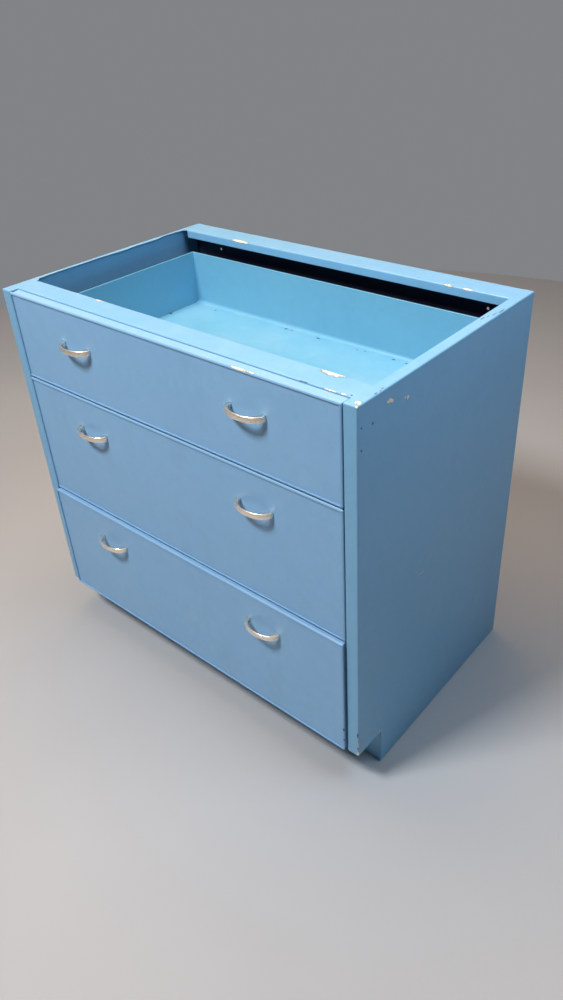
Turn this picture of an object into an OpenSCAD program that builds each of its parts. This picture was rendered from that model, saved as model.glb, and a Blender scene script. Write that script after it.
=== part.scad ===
// Three-drawer steel base cabinet on a recessed toe space, with an open top.
// Drawers run on rollers in tracks that are carried by posts inside the side panels.
// Lengths are in millimetres. +X is the cabinet's right, -Y its front and +Z up.
// The origin is on the floor, at the centre of everything's outline.

/* [Cabinet] */
// Overall width, over the side panels
body_w = 914.4; // [760:0.1:1220]
// Overall depth, from the front of the stiles to the back
body_d = 571.5; // [480:0.1:700]
// Overall height, from the floor to the top flanges
body_h = 876.3; // [760:0.1:1000]
// Sheet thickness of the cabinet
panel_t = 1.5; // [1:0.1:2]
// Width of each front stile
stile_w = 27; // [22:0.5:34]
// Width of the flange along the top of each side panel
top_flange_w = 21; // [16:0.5:26]
// Width of the back return and the bottom flange of each side panel
return_w = 20; // [14:0.5:26]
// Depth of the front top rail
front_rail_d = 52; // [40:1:70]
// Height of the front top rail's flanges
front_rail_h = 22; // [14:1:30]
// Depth of the back top rail
back_rail_d = 60; // [45:1:80]
// Height of the back top rail's lip
back_rail_h = 18; // [12:1:26]
// How far the back panel is set in from the back edges
back_inset = 12; // [6:1:20]
// Width of each cross rail, front to back
cross_rail_d = 25; // [18:1:32]
// Height of each cross rail
cross_rail_h = 17; // [12:1:20]

/* [Toe space] */
// Height of the toe space
toe_h = 98; // [85:1:115]
// Depth of the toe space
toe_d = 78; // [60:1:95]
// How far the toe plate stands behind the side panels' notches
toe_plate_gap = 2; // [1:0.5:4]
// Height of the base pan's front lip
base_lip_h = 10; // [6:1:11]

/* [Drawers] */
// Height of the top drawer's front
top_front_h = 188.6; // [150:0.1:230]
// Thickness of a drawer front
front_t = 19; // [15:0.5:22]
// Sheet thickness of the drawers
drawer_sheet_t = 1.2; // [0.8:0.1:1.6]
// Gap between two drawer fronts
front_gap = 4.4; // [3:0.1:8]
// Gap between a drawer front and a stile
front_side_gap = 2.2; // [1:0.1:4]
// Gap above the top drawer's front
front_top_gap = 2.3; // [1:0.1:5]
// Gap between the bottom drawer's front and the underside of the base pan
front_bottom_gap = 3; // [1:0.1:6]
// Height of a tray's floor over the bottom edge of its front
tray_rise = 11.5; // [11:0.5:16]
// Drop from the top edge of a front to the top edge of its tray
tray_drop = 47; // [35:1:60]
// Space left behind a closed tray, up to the back edges of the cabinet
tray_back_room = 66; // [50:1:90]
// Width of the hem along the top edges of a tray
hem_w = 2.6; // [2:0.1:4]
// Height of the hem
hem_h = 9; // [6:0.5:14]
// Width of the welded seams between the four sheets of a tray
tray_seam = 0.1; // [0.05:0.05:0.3]
// How far the bottom drawer is left open
bottom_ajar = 7; // [0:0.5:20]
// Thickness of the bumpers behind each front
bumper_t = 2; // [1:0.1:4]

/* [Slides] */
// Space between the stile's inner edge and the tray on each side
slide_room = 12.5; // [12:0.1:16]
// Sheet thickness of tracks and runners
track_t = 1.5; // [1:0.1:2]
// Radius of every roller
roller_r = 11; // [9:0.5:12]
// Width of every roller
roller_w = 7.5; // [6:0.5:8]
// Radius of the axle's journal
axle_r = 3; // [2:0.1:4]
// Radius of the axle's shoulder and head
axle_head_r = 4.8; // [4.5:0.1:6]
// Thickness of the axle's head
axle_head_t = 0.9; // [0.6:0.1:1.2]
// Radial clearance between roller and axle
axle_play = 0.08; // [0.02:0.01:0.1]
// Clearance between a roller and the sheet that it runs on
roll_gap = 0.35; // [0.3:0.05:0.6]
// Height of the track's floor over the tray's floor
track_rise = 20; // [14:1:26]
// Distance from the stile's front to the track roller's axle
front_roller_y = 46; // [40:1:60]
// Distance from a tray's back to the runner roller's axle
rear_roller_inset = 30; // [20:1:50]
// Front-to-back width of each slide post
post_w = 40; // [30:1:50]

/* [Pulls] */
// Distance between the two screws of a pull
pull_pitch = 76.2; // [64:0.1:96]
// Overall length of a pull
pull_len = 89; // [84:0.5:104]
// How far a pull stands out of the drawer front
pull_reach = 25; // [20:0.5:34]
// Height of a pull's strap
pull_h = 12; // [9:0.5:16]
// Thickness of the strap at the middle of its bow
pull_t = 3.4; // [2.5:0.1:5]
// Length of each foot along the drawer front
pull_foot = 10.5; // [9:0.5:13]
// Distance from the cabinet's side to a pull's centre
pull_inset = 228; // [150:1:300]
// Distance from a drawer front's top edge to the pulls of the two upper drawers
pull_drop = 75.5; // [40:0.5:100]
// The same distance on the bottom drawer
bottom_pull_drop = 71; // [40:0.5:100]
// Radius of a pull screw
pull_screw_r = 2; // [1.5:0.1:2.5]

/* [Fastenings] */
// Radius of the wall-fastening holes
wall_hole_r = 3; // [2:0.1:4]
// Distance from each side to a wall-fastening hole
wall_hole_inset = 87; // [60:1:120]
// Drop from the top to the wall-fastening holes
wall_hole_drop = 49; // [35:1:70]
// Radius of the joining holes in the side panels
join_hole_r = 2; // [1.5:0.1:3]
// Distance from the stile's front to the line of two joining holes
join_hole_y = 10; // [8:0.5:14]
// Drop from the top to the upper joining hole
join_hole_drop = 40; // [30:1:60]
// Distance between the two joining holes
join_hole_pitch = 39; // [30:1:60]
// Distance from the stile's front to the post hole
post_hole_y = 39.5; // [36:0.5:44]
// Drop from the top to the post hole
post_hole_drop = 45; // [30:1:60]
// Radius of a levelling screw
level_screw_r = 5; // [4:0.5:6]
// Height of the corner gussets over the floor
gusset_z = 38; // [30:1:50]
// Side of each square corner gusset
gusset_size = 60; // [45:1:75]

/* [Hidden] */
LEVELS = ["top", "middle", "bottom"];
SIDES = ["left", "right"];
drawer_parts = ["front", "liner", "tray", "runners", "runner_axles", "left_pull", "right_pull",
    "pull_screws", "bumpers", "left_runner_roller", "right_runner_roller"];

paint = "#6f9fcc";
bare_steel = "#a9adb2";
cast_metal = "#c9c6c0";
nylon = "#e8e6dc";
rubber = "#2b2b2d";

round_fn = 64;

// The frame: y counts back from the stile's front inside the modules, and this puts it in place.
front_y = (pull_reach + bottom_ajar - body_d) / 2;

// Drawer fronts, from the top drawer down to the bottom one
lower_front_h = (body_h - front_top_gap - top_front_h - 2 * front_gap - front_bottom_gap - toe_h) / 2;
front_hs = [top_front_h, lower_front_h, lower_front_h];
front_tops = [
    body_h - front_top_gap,
    body_h - front_top_gap - top_front_h - front_gap,
    toe_h + front_bottom_gap + lower_front_h];
front_w = body_w - 2 * (stile_w + front_side_gap);
front_x = stile_w + front_side_gap;
ajars = [0, 0, bottom_ajar];
pull_drops = [pull_drop, pull_drop, bottom_pull_drop];

// Cabinet
bumper_gap = 0.4;
stile_d = front_t + bumper_t + bumper_gap;
rail_y = stile_d;
back_panel_y = body_d - back_inset - panel_t;
pan_y = rail_y;
weld_tab = 14;

// Trays
tray_x = stile_w + slide_room;
tray_w = body_w - 2 * tray_x;
tray_d = body_d - front_t - tray_back_room;

// Slides, as distances from the cabinet's outer side face, for the left side
runner_flange_gap = 1.5;
track_lip_gap = 0.8;
track_head = 0.5;
track_tail = 4;
runner_head = 3;
runner_tail = 8;
rear_post_inset = 10;
post_top_gap = 6;
rear_post_rise = 45;
track_web_x = stile_w - track_t;
runner_web_x = tray_x - track_t;
runner_flange_x = stile_w + runner_flange_gap;
roller_side_gap = 0.2;
slot_w = runner_web_x - stile_w;
roller_x = stile_w + (slot_w - roller_w) / 2;
shoulder_len = roller_x - stile_w - roller_side_gap;
track_floor_edge = runner_web_x - track_lip_gap;
runner_top_gap = 1.2;
runner_rise = 2 * roller_r + 2 * roll_gap;
track_inner_h = runner_rise + track_t + runner_top_gap;
track_front = rail_y + track_head;
track_back = front_t + tray_d + track_tail;
runner_front = front_t + runner_head;
runner_back = front_t + tray_d - runner_tail;
rear_roller_y = front_t + tray_d - rear_roller_inset;
front_post_y = track_front;
rear_post_y = track_back - post_w - rear_post_inset;
post_web_x = track_web_x - panel_t;
front_post_top = body_h - front_rail_h - post_top_gap;

// Fasteners
pull_hole_play = 0.25;
pull_screw_head_r = 2 * pull_screw_r;
pull_screw_head_h = 1.4 * pull_screw_r;
pull_screw_len = 8;
pull_screw_end_gap = 0.5;
bumper_r = 4;
bumper_inset = 20;
level_pad_r = 2 * level_screw_r;
level_pad_h = 5;
level_screw_rise = 34;
level_screw_top = gusset_z + level_screw_rise;
gusset_t = 3;
nut_h = 8;
nut_r = 1.9 * level_screw_r;
gusset_hole_play = 0.3;

// Rollers: the hub and the rim stand out of a recess on both faces
roller_rim = 3;
roller_hub_wall = 1;
roller_recess = 1;

// How far a cutting shape runs past the faces that it cuts
cut = 1;

// z of the tray's floor, of the track's floor and of a pull's centre on drawer d
function tray_z(d) = front_tops[d] - front_hs[d] + tray_rise;
function track_z(d) = tray_z(d) + track_rise;
function pull_z(d) = front_tops[d] - pull_drops[d];

module in_place() {
    translate([-body_w / 2, front_y, 0]) children();
}

// Draws the left side, or its mirror image on the right.
module on_side(side) {
    if (side == 0) {
        in_place() children();
    } else {
        mirror([1, 0, 0]) in_place() children();
    }
}

// Places what belongs to drawer d, slid out by the amount that it stands open.
module drawer_place(d) {
    translate([0, -ajars[d], 0]) in_place() children();
}

module on_drawer_side(d, side) {
    translate([0, -ajars[d], 0]) on_side(side) children();
}

// Round holes and pins that run to the right, or back into the cabinet
module along_x(r, length) {
    rotate([0, 90, 0]) cylinder(r = r, h = length, $fn = round_fn);
}

module along_y(r, length) {
    rotate([-90, 0, 0]) cylinder(r = r, h = length, $fn = round_fn);
}

// ---- Cabinet ----

module side_panel(side) {
    color(paint) on_side(side) difference() {
        union() {
            // the face, without the toe notch
            translate([0, toe_d, 0]) cube([panel_t, body_d - toe_d, body_h]);
            translate([0, 0, toe_h]) cube([panel_t, toe_d, body_h - toe_h]);
            // the stile, its inner return and its closed top
            translate([0, 0, toe_h]) cube([stile_w, panel_t, body_h - toe_h]);
            translate([stile_w - panel_t, 0, toe_h]) cube([panel_t, stile_d, body_h - toe_h]);
            translate([0, 0, body_h - panel_t]) cube([stile_w, stile_d, panel_t]);
            // the top flange, the back return and the bottom flange
            translate([0, 0, body_h - panel_t]) cube([top_flange_w, body_d, panel_t]);
            translate([0, body_d - panel_t, 0]) cube([return_w, panel_t, body_h]);
            translate([0, toe_d, 0]) cube([return_w, body_d - toe_d, panel_t]);
        }
        for (drop = [join_hole_drop, join_hole_drop + join_hole_pitch]) {
            translate([-cut, join_hole_y, body_h - drop]) along_x(join_hole_r, panel_t + 2 * cut);
        }
        translate([-cut, post_hole_y, body_h - post_hole_drop])
            along_x(join_hole_r, panel_t + 2 * cut);
    }
}

// The back panel stands on the bottom flanges and reaches up to the back rail's weld tabs.
module back_panel() {
    height = body_h - 3 * panel_t;
    color(paint) in_place() difference() {
        translate([panel_t, back_panel_y, panel_t]) cube([body_w - 2 * panel_t, panel_t, height]);
        for (x = [wall_hole_inset, body_w - wall_hole_inset]) {
            translate([x, back_panel_y - cut, body_h - wall_hole_drop])
                along_y(wall_hole_r, panel_t + 2 * cut);
        }
    }
}

module base_pan() {
    color(paint) in_place() {
        translate([panel_t, pan_y, toe_h - panel_t])
            cube([body_w - 2 * panel_t, back_panel_y - pan_y, panel_t]);
        translate([stile_w, pan_y, toe_h - panel_t])
            cube([body_w - 2 * stile_w, panel_t, base_lip_h + panel_t]);
    }
}

module toe_plate() {
    plate_y = toe_d + toe_plate_gap;
    color(paint) in_place() {
        translate([panel_t, plate_y, panel_t])
            cube([body_w - 2 * panel_t, panel_t, toe_h - 2 * panel_t]);
        for (z = [panel_t, toe_h - 2 * panel_t]) {
            translate([panel_t, plate_y, z]) cube([body_w - 2 * panel_t, return_w, panel_t]);
        }
    }
}

// A channel open downwards, along X between the side panels' flanges, with tabs under the flanges
module top_rail(y, depth, height) {
    color(paint) in_place() {
        length = body_w - 2 * top_flange_w;
        translate([top_flange_w, y, body_h - panel_t]) cube([length, depth, panel_t]);
        for (edge = [y, y + depth - panel_t]) {
            translate([top_flange_w, edge, body_h - height]) cube([length, panel_t, height]);
        }
        for (x = [top_flange_w - weld_tab, body_w - top_flange_w]) {
            translate([x, y + panel_t, body_h - 2 * panel_t])
                cube([weld_tab, depth - 2 * panel_t, panel_t]);
        }
        for (x = [top_flange_w, body_w - 2 * top_flange_w]) {
            translate([x, y + panel_t, body_h - 2 * panel_t])
                cube([top_flange_w, depth - 2 * panel_t, panel_t]);
        }
    }
}

module front_top_rail() {
    top_rail(rail_y, front_rail_d, front_rail_h);
}

module back_top_rail() {
    top_rail(body_d - back_rail_d, back_rail_d - panel_t, back_rail_h);
}

// A cross rail sits behind the gap under drawer d, between the front posts.
module cross_rail(d) {
    middle = front_tops[d] - front_hs[d] - front_gap / 2;
    z = middle - cross_rail_h / 2;
    x = track_web_x;
    length = body_w - 2 * x;
    color(paint) in_place() {
        translate([x, rail_y, z + cross_rail_h - panel_t]) cube([length, cross_rail_d, panel_t]);
        for (y = [rail_y, rail_y + cross_rail_d - panel_t]) {
            translate([x, y, z]) cube([length, panel_t, cross_rail_h]);
        }
    }
}

module slide_posts() {
    rear_post_top = track_z(0) + track_inner_h + rear_post_rise;
    posts = [[front_post_y, front_post_top], [rear_post_y, rear_post_top]];
    color(bare_steel) for (side = [0, 1], post = posts) on_side(side) {
        y = post[0];
        height = post[1] - toe_h;
        translate([post_web_x, y, toe_h]) cube([panel_t, post_w, height]);
        for (edge = [y, y + post_w - panel_t]) {
            translate([panel_t, edge, toe_h]) cube([post_web_x, panel_t, height]);
        }
    }
}

// The four levelling points, as [side, y]
level_points = [for (side = [0, 1], y = [
    toe_d + toe_plate_gap + panel_t + gusset_size / 2,
    back_panel_y - gusset_size / 2]) [side, y]];
level_x = panel_t + gusset_size / 2;

module corner_gussets() {
    color(bare_steel) for (point = level_points) on_side(point[0]) difference() {
        translate([panel_t, point[1] - gusset_size / 2, gusset_z])
            cube([gusset_size, gusset_size, gusset_t]);
        translate([level_x, point[1], gusset_z - cut])
            cylinder(r = level_screw_r + gusset_hole_play, h = gusset_t + 2 * cut, $fn = round_fn);
    }
}

module levelling_screws() {
    color(bare_steel) for (point = level_points) on_side(point[0]) translate([level_x, point[1], 0]) {
        cylinder(r = level_pad_r, h = level_pad_h, $fn = round_fn);
        cylinder(r = level_screw_r, h = level_screw_top, $fn = round_fn);
    }
}

module levelling_nuts() {
    color(bare_steel) for (point = level_points) on_side(point[0])
        translate([level_x, point[1], gusset_z + gusset_t]) difference() {
            cylinder(r = nut_r, h = nut_h, $fn = 6);
            translate([0, 0, -cut])
                cylinder(r = level_screw_r, h = nut_h + 2 * cut, $fn = round_fn);
        }
}

// ---- Slides ----

// A track is a channel that opens towards the tray, with the runner roller inside it.
module track(d, side) {
    z = track_z(d);
    length = track_back - track_front;
    color(bare_steel) on_side(side) {
        translate([track_web_x, track_front, z - track_t])
            cube([track_t, length, track_inner_h + 2 * track_t]);
        for (floor_z = [z - track_t, z + track_inner_h]) {
            translate([track_web_x, track_front, floor_z])
                cube([track_floor_edge - track_web_x, length, track_t]);
        }
    }
}

// A shouldered pin along +X with a head, starting at the sheet that holds it
module axle() {
    journal_len = roller_w + 2 * roller_side_gap;
    along_x(axle_head_r, shoulder_len);
    along_x(axle_r, shoulder_len + journal_len);
    translate([shoulder_len + journal_len, 0, 0]) along_x(axle_head_r, axle_head_t);
}

module track_axles() {
    color(bare_steel) for (d = [0:2], side = [0, 1]) on_side(side)
        translate([stile_w, front_roller_y, track_z(d) + roll_gap + roller_r]) axle();
}

// A roller with a bored hub and a raised rim on both faces
module roller() {
    hub_r = axle_head_r + roller_hub_wall;
    recess_w = roller_recess + cut;
    color(nylon) difference() {
        along_x(roller_r, roller_w);
        for (x = [-cut, roller_w - roller_recess]) translate([x, 0, 0]) difference() {
            along_x(roller_r - roller_rim, recess_w);
            translate([-cut, 0, 0]) along_x(hub_r, recess_w + 2 * cut);
        }
        translate([-cut, 0, 0]) along_x(axle_r + axle_play, roller_w + 2 * cut);
    }
}

module track_roller(d, side) {
    on_side(side) translate([roller_x, front_roller_y, track_z(d) + roll_gap + roller_r]) roller();
}

// The runner's flange lies on the track roller; its web is fixed to the tray.
module runners(d) {
    z = track_z(d);
    flange_z = z + runner_rise;
    length = runner_back - runner_front;
    color(bare_steel) for (side = [0, 1]) on_drawer_side(d, side) {
        translate([runner_web_x, runner_front, tray_z(d)])
            cube([track_t, length, flange_z + track_t - tray_z(d)]);
        translate([runner_flange_x, runner_front, flange_z])
            cube([tray_x - runner_flange_x, length, track_t]);
    }
}

module runner_axles(d) {
    color(bare_steel) for (side = [0, 1]) on_drawer_side(d, side)
        translate([runner_web_x, rear_roller_y, track_z(d) + roll_gap + roller_r])
            mirror([1, 0, 0]) axle();
}

module runner_roller(d, side) {
    on_drawer_side(d, side)
        translate([roller_x, rear_roller_y, track_z(d) + roll_gap + roller_r]) roller();
}

// ---- Drawers ----

module drawer_front(d) {
    height = front_hs[d];
    z = front_tops[d] - height;
    t = drawer_sheet_t;
    color(paint) drawer_place(d) difference() {
        translate([front_x, 0, z]) cube([front_w, front_t, height]);
        translate([front_x + t, t, z + t]) cube([front_w - 2 * t, front_t, height - 2 * t]);
        for (x = [pull_inset, body_w - pull_inset], side = [-1, 1]) {
            translate([x + side * pull_pitch / 2, -cut, pull_z(d)])
                along_y(pull_screw_r + pull_hole_play, t + 2 * cut);
        }
    }
}

module liner(d) {
    height = front_hs[d];
    z = front_tops[d] - height;
    t = drawer_sheet_t;
    color(paint) drawer_place(d) translate([front_x + t, front_t - t, z + t])
        cube([front_w - 2 * t, t, height - 2 * t]);
}

// A tray is four sheets, seam-welded edge to edge: a floor, two sides and a back. The sides and
// the back have a hem folded outwards along the top. The front is closed by the liner.
module tray(d) {
    height = front_hs[d] - tray_rise - tray_drop;
    t = drawer_sheet_t;
    edge = t + tray_seam;
    hem_z = height - hem_h;
    color(paint) drawer_place(d) translate([tray_x, front_t, tray_z(d)]) {
        translate([edge, 0, 0]) cube([tray_w - 2 * edge, tray_d - edge, t]);
        for (x = [0, tray_w - t]) {
            translate([x, 0, 0]) cube([t, tray_d - edge, height]);
        }
        for (x = [t - hem_w, tray_w - t]) {
            translate([x, 0, hem_z]) cube([hem_w, tray_d - edge, hem_h]);
        }
        translate([0, tray_d - t, 0]) cube([tray_w, t, height]);
        translate([t - hem_w, tray_d - t, hem_z]) cube([tray_w + 2 * (hem_w - t), hem_w, hem_h]);
    }
}

module bumpers(d) {
    z = front_tops[d] - front_hs[d];
    color(rubber) for (side = [0, 1]) on_drawer_side(d, side)
        translate([tray_x + bumper_inset, front_t, z + drawer_sheet_t + bumper_r])
            along_y(bumper_r, bumper_t);
}

// Half of an ellipse from -a to a along X, bowed towards -Y by b
function half_ellipse(a, b, steps = 40) =
    [for (i = [0:steps]) [-a * cos(180 * i / steps), -b * sin(180 * i / steps)]];

module pull(d, side) {
    outer = half_ellipse(pull_len / 2, pull_reach);
    inner = half_ellipse(pull_len / 2 - pull_foot, pull_reach - pull_t);
    last = len(inner) - 1;
    color(cast_metal) on_drawer_side(d, side) translate([pull_inset, 0, pull_z(d)]) difference() {
        translate([0, 0, -pull_h / 2]) linear_extrude(pull_h)
            polygon(concat(outer, [for (i = [0:last]) inner[last - i]]));
        for (x = [-pull_pitch / 2, pull_pitch / 2]) {
            translate([x, -pull_screw_len, 0]) along_y(pull_screw_r, pull_screw_len + cut);
        }
    }
}

module pull_screws(d) {
    t = drawer_sheet_t;
    color(bare_steel) for (side = [0, 1]) on_drawer_side(d, side)
        for (x = [-pull_pitch / 2, pull_pitch / 2]) translate([pull_inset + x, 0, pull_z(d)]) {
            translate([0, pull_screw_end_gap - pull_screw_len, 0])
                along_y(pull_screw_r, pull_screw_len - pull_screw_end_gap + t);
            translate([0, t, 0]) along_y(pull_screw_head_r, pull_screw_head_h);
        }
}

side_panel(0);  // left_side_panel
side_panel(1);  // right_side_panel
back_panel();
base_pan();
toe_plate();
front_top_rail();
back_top_rail();
cross_rail(0);  // upper_cross_rail
cross_rail(1);  // lower_cross_rail
slide_posts();
corner_gussets();
levelling_screws();
levelling_nuts();
track_axles();
for (d = [0:2]) {
    for (s = [0, 1]) {
        track(d, s);
        track_roller(d, s);
        runner_roller(d, s);
        pull(d, s);
    }
    drawer_front(d);
    liner(d);
    tray(d);
    runners(d);
    runner_axles(d);
    pull_screws(d);
    bumpers(d);
}
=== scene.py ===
# A blue enamelled steel base cabinet with three drawers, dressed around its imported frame.
# Everything is in metres in the frame's axes: +X right, -Y out of the drawer fronts, +Z up.
import math

import bmesh
import bpy
import numpy as np
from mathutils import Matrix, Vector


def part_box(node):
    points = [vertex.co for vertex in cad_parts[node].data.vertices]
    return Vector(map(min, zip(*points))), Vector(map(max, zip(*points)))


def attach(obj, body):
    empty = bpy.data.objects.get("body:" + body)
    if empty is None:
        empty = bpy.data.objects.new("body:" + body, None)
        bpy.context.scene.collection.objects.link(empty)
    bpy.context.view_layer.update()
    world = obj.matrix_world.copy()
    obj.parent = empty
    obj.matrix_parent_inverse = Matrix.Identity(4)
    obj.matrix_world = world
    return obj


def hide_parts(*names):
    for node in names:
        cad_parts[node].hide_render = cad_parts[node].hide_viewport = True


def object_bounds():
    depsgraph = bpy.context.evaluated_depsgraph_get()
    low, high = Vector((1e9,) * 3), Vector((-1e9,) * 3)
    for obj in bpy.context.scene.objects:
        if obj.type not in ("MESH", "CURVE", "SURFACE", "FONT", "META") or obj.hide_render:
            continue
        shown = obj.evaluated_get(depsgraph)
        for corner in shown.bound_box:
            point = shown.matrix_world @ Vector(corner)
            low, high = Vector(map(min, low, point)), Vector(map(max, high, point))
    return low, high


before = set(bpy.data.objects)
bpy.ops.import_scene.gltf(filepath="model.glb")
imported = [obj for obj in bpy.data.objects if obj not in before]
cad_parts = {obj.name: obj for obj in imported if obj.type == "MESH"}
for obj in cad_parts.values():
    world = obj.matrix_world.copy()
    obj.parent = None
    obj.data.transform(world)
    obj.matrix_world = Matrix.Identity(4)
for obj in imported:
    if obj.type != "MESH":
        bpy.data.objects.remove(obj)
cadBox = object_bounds()
scene = bpy.context.scene
levels = ("top", "middle", "bottom")
sides = ("left", "right")
print("frame loaded:", len(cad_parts), "nodes")


# Shapes: paths, grids of points and the pieces made of them

def roundedPath(corners, steps=5, closed=False):
    # Straight runs joined by arcs. A corner is (u, v, r): its arc keeps r from both runs, and
    # with no r it stays a point. Returns the points and the normals on the path's left.
    at = np.array([c[:2] for c in corners], float)
    ahead = np.roll(at, -1, 0) - at
    ahead /= np.maximum(np.linalg.norm(ahead, axis=1, keepdims=True), 1e-12)
    behind = np.roll(ahead, 1, 0)
    if not closed:
        ahead[-1] = behind[-1]
        behind[0] = ahead[0]
    points, normals = [], []
    for p, a, b, corner in zip(at, behind, ahead, corners):
        radius = corner[2] if len(corner) > 2 else 0
        turn = math.atan2(a[0] * b[1] - a[1] * b[0], a @ b)
        left = np.array([-a[1], a[0]])
        if radius == 0:
            middle = left + np.array([-b[1], b[0]])
            points.append(p[None])
            normals.append((middle / (middle @ left))[None])
            continue
        side = math.copysign(1, turn)
        centre = p - a * radius * math.tan(abs(turn) / 2) + side * radius * left
        angle = np.linspace(0, turn, steps + 1)
        fan = np.stack([left[0] * np.cos(angle) - left[1] * np.sin(angle),
                        left[0] * np.sin(angle) + left[1] * np.cos(angle)], 1)
        points.append(centre - side * radius * fan)
        normals.append(fan)
    return np.concatenate(points), np.concatenate(normals)


def sheetOutline(corners, sheet):
    # The closed outline of a folded sheet: its middle line moved half a thickness to the left
    # and to the right, with a half round over each cut edge.
    points, normals = roundedPath(corners)
    half = sheet / 2
    angle = np.linspace(0, math.pi, 5)[1:-1, None]

    def cutEdge(i, along):
        across = normals[i] if along > 0 else -normals[i]
        forward = np.array([across[1], -across[0]])
        return points[i] + half * (across * np.cos(angle) + 0.35 * forward * np.sin(angle))

    return np.concatenate([points + half * normals, cutEdge(-1, 1),
                           (points - half * normals)[::-1], cutEdge(0, -1)])


def quads(rows, cols, closed=False, flip=False, keep=None):
    # Faces of a grid of points: (i, j), (i, j+1), (i+1, j+1), (i+1, j). keep picks cells.
    i, j = np.meshgrid(np.arange(rows - 1), np.arange(cols if closed else cols - 1), indexing="ij")
    right = (j + 1) % cols
    faces = np.stack([i * cols + j, i * cols + right, (i + 1) * cols + right, (i + 1) * cols + j], -1)
    faces = faces.reshape(-1, 4) if keep is None else faces[keep]
    return faces[:, ::-1] if flip else faces


def bar(outline, low, high, place):
    # A closed outline carried straight from low to high. place turns (u, v, w) into a point.
    count = len(outline)
    ends = np.array([low, high])[:, None] * np.ones((1, count))
    points = place(outline[None, :, 0] + 0 * ends, outline[None, :, 1] + 0 * ends, ends)
    cap = np.arange(count)[None]
    return points.reshape(-1, 3), [quads(2, count, closed=True), cap[:, ::-1], cap + count]


def turned(profile, centre, count):
    # A profile of (along, radius) pairs turned about the X axis through centre.
    profile = np.array(profile, float)
    angle = np.linspace(0, 2 * math.pi, count, endpoint=False)
    along, radius = profile[:, :1], profile[:, 1:]
    points = np.stack([along + 0 * angle, radius * np.cos(angle), radius * np.sin(angle)], -1)
    faces = [quads(len(profile), count, closed=True)]
    for row in (0, len(profile) - 1):
        if profile[row, 1] > 0:
            faces.append(row * count + np.arange(count)[None])
    return points.reshape(-1, 3) + centre, faces


def across(u, v, w):
    # Profiles in the YZ plane, carried along X
    return np.stack([w, u, v], -1)


def inward(u, v, w):
    # Profiles in the XZ plane, carried along Y
    return np.stack([u, w, v], -1)


def upward(u, v, w):
    # Profiles in the XY plane, carried along Z
    return np.stack([u, v, w], -1)


def mirrored(patch):
    # The same patch on the other side of the cabinet, with its faces still outwards
    points, faces = patch
    return points * (-1, 1, 1), [np.asarray(f)[:, ::-1] for f in faces]


def onSide(side, patch):
    return patch if side == "left" else mirrored(patch)


mesher = {"merge": 2e-6, "sharp": math.radians(38), "bevelled": math.radians(50)}   # metres, angles


def makePiece(name, patches, material, body, nodes, sheet=0, solid=False):
    # One object from patches of (points, faces). An open skin gets its thickness inwards, and
    # a solid's faces are turned outwards once its doubles are merged.
    points, faces, first = [], [], 0
    for where, groups in patches:
        where = np.asarray(where, float).reshape(-1, 3)
        for group in groups:
            faces += (np.asarray(group) + first).tolist()
        points.append(where)
        first += len(where)
    mesh = bpy.data.meshes.new(name)
    mesh.from_pydata(np.concatenate(points).tolist(), [], faces)
    work = bmesh.new()
    work.from_mesh(mesh)
    bmesh.ops.remove_doubles(work, verts=work.verts, dist=mesher["merge"])
    bmesh.ops.delete(work, geom=[v for v in work.verts if not v.link_faces], context="VERTS")
    if solid:
        bmesh.ops.recalc_face_normals(work, faces=work.faces)
    work.to_mesh(mesh)
    work.free()
    mesh.shade_smooth()
    mesh.set_sharp_from_angle(angle=mesher["sharp"])
    mesh.materials.append(material)
    piece = bpy.data.objects.new(name, mesh)
    scene.collection.objects.link(piece)
    if sheet:
        wall = piece.modifiers.new("sheet", "SOLIDIFY")
        wall.thickness = sheet
        wall.offset = -1
        wall.use_even_offset = True
    evenShading(piece)
    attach(piece, body)
    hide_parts(*nodes)
    return piece


def evenShading(piece):
    shading = piece.modifiers.new("even shading", "WEIGHTED_NORMAL")
    shading.keep_sharp = True


def softEdges(piece, width):
    # A small round over every sharp edge
    bevel = piece.modifiers.new("soft edges", "BEVEL")
    bevel.width = width
    bevel.segments = 2
    bevel.limit_method = "ANGLE"
    bevel.angle_limit = mesher["bevelled"]


def dressNode(node, material, edge=0.0):
    # A frame node whose shape is right keeps its mesh and takes a finish.
    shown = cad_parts[node]
    shown.data.materials.clear()
    shown.data.materials.append(material)
    if edge:
        weld = shown.modifiers.new("weld", "WELD")
        weld.merge_threshold = mesher["merge"] / 2
        softEdges(shown, edge)
        evenShading(shown)


# Short ways to place shader nodes

def fill(tree, node, inputs):
    # Gives a node its inputs, which are values or other nodes' sockets.
    for key, value in inputs.items():
        if isinstance(value, bpy.types.NodeSocket):
            tree.links.new(value, node.inputs[key])
        else:
            node.inputs[key].default_value = value
    return node


def add(tree, kind, inputs=None, **settings):
    # A shader node with its settings and its inputs
    node = tree.nodes.new("ShaderNode" + kind)
    for key, value in settings.items():
        setattr(node, key, value)
    return fill(tree, node, inputs or {})


def maths(tree, operation, a, b=0.0, c=0.0, clamp=False):
    node = add(tree, "Math", {0: a, 1: b, 2: c}, operation=operation, use_clamp=clamp)
    return node.outputs[0]


def vectorMaths(tree, operation, a, b=(0, 0, 0), output=0):
    return add(tree, "VectorMath", {0: a, 1: b}, operation=operation).outputs[output]


def ramp(tree, value, low, high, bottom=0.0, top=1.0):
    # bottom below low, top above high, and a smooth step between them
    node = add(tree, "MapRange", {"Value": value, "From Min": low, "From Max": high,
                                  "To Min": bottom, "To Max": top},
               interpolation_type="SMOOTHSTEP")
    return node.outputs[0]


def noise(tree, where, scale, detail=3.0, rough=0.55):
    node = add(tree, "TexNoise", {"Vector": where, "Scale": scale, "Detail": detail,
                                  "Roughness": rough})
    return node.outputs["Fac"]


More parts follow.
